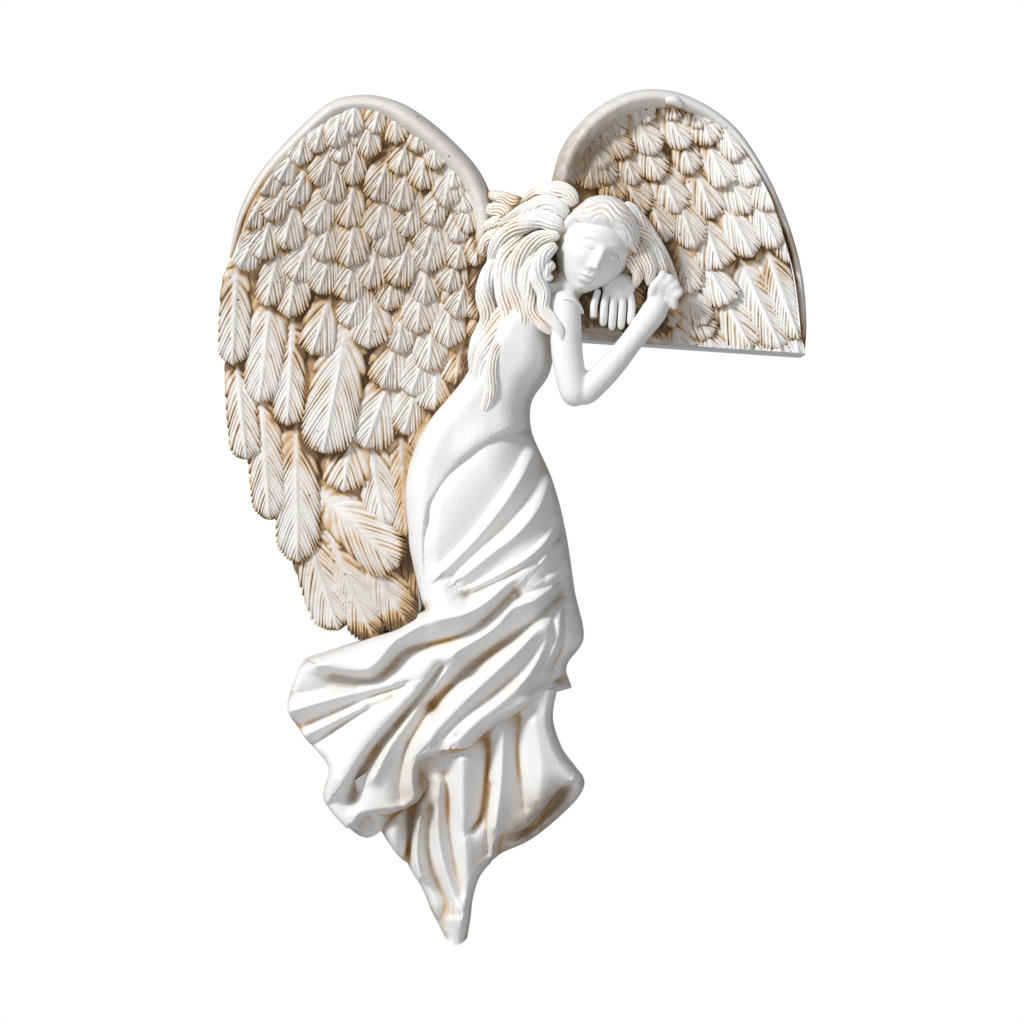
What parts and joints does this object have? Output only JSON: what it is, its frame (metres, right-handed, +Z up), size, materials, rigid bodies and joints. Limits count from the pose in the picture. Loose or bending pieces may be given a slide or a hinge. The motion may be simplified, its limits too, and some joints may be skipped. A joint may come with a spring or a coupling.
{
  "type": "door frame angel sculpture",
  "caption": "Cast relief of a winged figure in long draped dress, leaning over a door casing's corner: one wing rests on the casing, the back lies on the wall.",
  "frame": {"origin": "on the flat underside of the right wing, which rests on the top of a door casing, midway through the ledge's depth and 25 mm from its free end", "axes": "+X along the casing towards the wing's free end, +Y into the wall, +Z up"},
  "size_m": [0.1302, 0.0293, 0.1904],
  "materials": {
    "ivory_resin": "satin ivory cast resin with a brown antique wash in the recesses"
  },
  "bodies": {
    "root": {"angel": "ivory_resin"}
  },
  "joints": []
}
